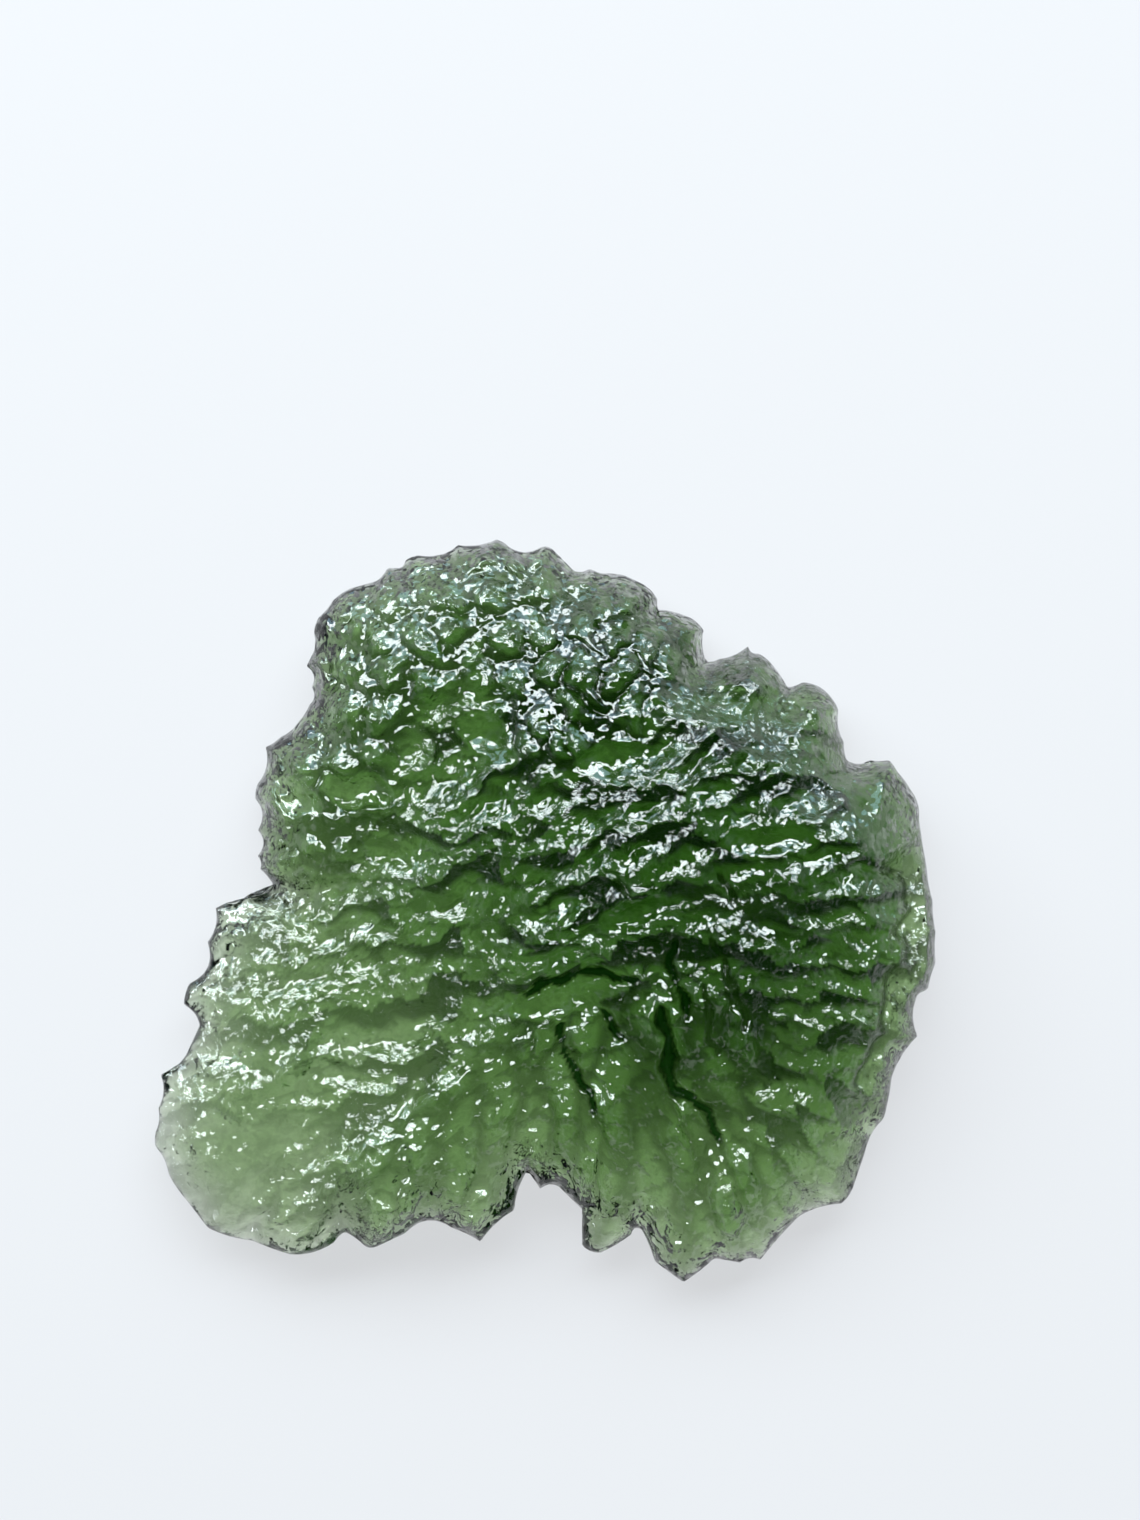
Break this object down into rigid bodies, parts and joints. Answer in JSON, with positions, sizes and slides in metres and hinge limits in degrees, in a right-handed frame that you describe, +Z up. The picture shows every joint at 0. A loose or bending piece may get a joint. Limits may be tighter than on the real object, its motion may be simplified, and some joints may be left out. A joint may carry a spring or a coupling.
{
  "type": "moldavite",
  "caption": "Flat, leaf-shaped piece of natural green glass with a deeply furrowed skin and a toothed rim, lying on its back.",
  "frame": {"origin": "under the middle of the outline, on the surface that the stone rests on", "axes": "+X across the stone to its thick right flank, +Y to its lumpy top, +Z up out of its front, which faces up"},
  "size_m": [0.03, 0.0286, 0.0077],
  "materials": {
    "moldavite": "clear bottle-green natural glass, dark where it is thick and pale at its thin rim, with a glossy etched skin"
  },
  "bodies": {
    "root": {"moldavite": "moldavite"}
  },
  "joints": []
}
